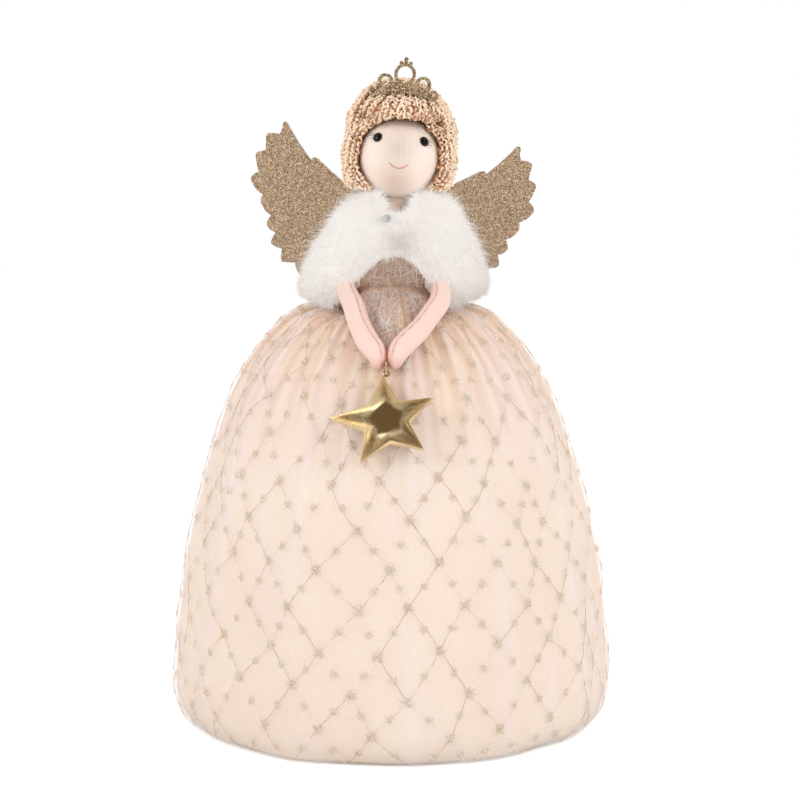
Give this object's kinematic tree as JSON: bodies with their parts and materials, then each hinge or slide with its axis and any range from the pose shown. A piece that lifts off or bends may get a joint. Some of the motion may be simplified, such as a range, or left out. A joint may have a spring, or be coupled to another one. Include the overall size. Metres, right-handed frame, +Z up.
{
  "type": "fabric angel ornament",
  "caption": "Fabric angel doll on a full bell skirt with fur stole, feathered wings and a hanging padded star; stands on a table or on a tree's tip.",
  "frame": {"origin": "middle of the base disc's underside, on the surface that the ornament stands on", "axes": "+Z up, the doll faces -Y, +X is to the right as the doll is looked at from the front"},
  "size_m": [0.1976, 0.1971, 0.299],
  "materials": {
    "tulle": "sheer glitter tulle with an embroidered lattice",
    "peach_satin": "soft peach satin",
    "card": "plain grey-brown card",
    "wadding": "white polyester fibre",
    "cotton": "plain woven cotton",
    "taupe_satin": "satin under white eyelash yarn",
    "wood": "bare turned beech",
    "face_knit": "fine stretched knit with painted blush",
    "eye_black": "polished black",
    "pink_thread": "stranded cotton thread",
    "hair_yarn": "looped boucle yarn",
    "glitter_sheet": "gold-brown glitter sheet",
    "pink_felt": "brushed felt with a stitched seam",
    "white_fur": "long soft pile",
    "clear_bead": "clear faceted glass",
    "glitter_leatherette": "beige-gold glitter leatherette",
    "gold_foil": "wrinkled gold foil cloth"
  },
  "bodies": {
    "doll": {"skirt_overlay": "tulle", "skirt_lining": "peach_satin", "base_disc": "card", "tree_cone": "card", "petticoat": "wadding", "torso_core": "cotton", "bodice": "taupe_satin", "waist_tie": "peach_satin", "head_ball": "wood", "head_cover": "face_knit", "neck_dowel": "wood", "neck_sleeve": "cotton", "left_eye": "eye_black", "right_eye": "eye_black", "mouth_stitch": "pink_thread", "hair_back": "hair_yarn", "hair_fringe": "hair_yarn", "hair_left": "hair_yarn", "hair_right": "hair_yarn", "tiara": "glitter_sheet", "left_arm": "pink_felt", "right_arm": "pink_felt", "hand_tie": "pink_thread", "fur_stole": "white_fur", "neck_bead": "clear_bead", "left_wing": "glitter_leatherette", "right_wing": "glitter_leatherette", "wing_pad": "pink_felt"},
    "thread_loop": {"thread_loop": "cotton"},
    "star": {"star_front": "gold_foil", "star_back": "gold_foil", "star_filling": "wadding"}
  },
  "joints": [
    {"name": "star_lift", "type": "hinge", "parent": "doll", "child": "thread_loop", "pos_m": [-0.00184, -0.06956, 0.1684], "axis": [-1, 0, 0], "range_deg": [0, 60]},
    {"name": "star_swing", "type": "hinge", "parent": "thread_loop", "child": "star", "pos_m": [-0.00184, -0.07114, 0.16528], "axis": [0, -0.891, 0.454], "range_deg": [-25, 25]}
  ]
}
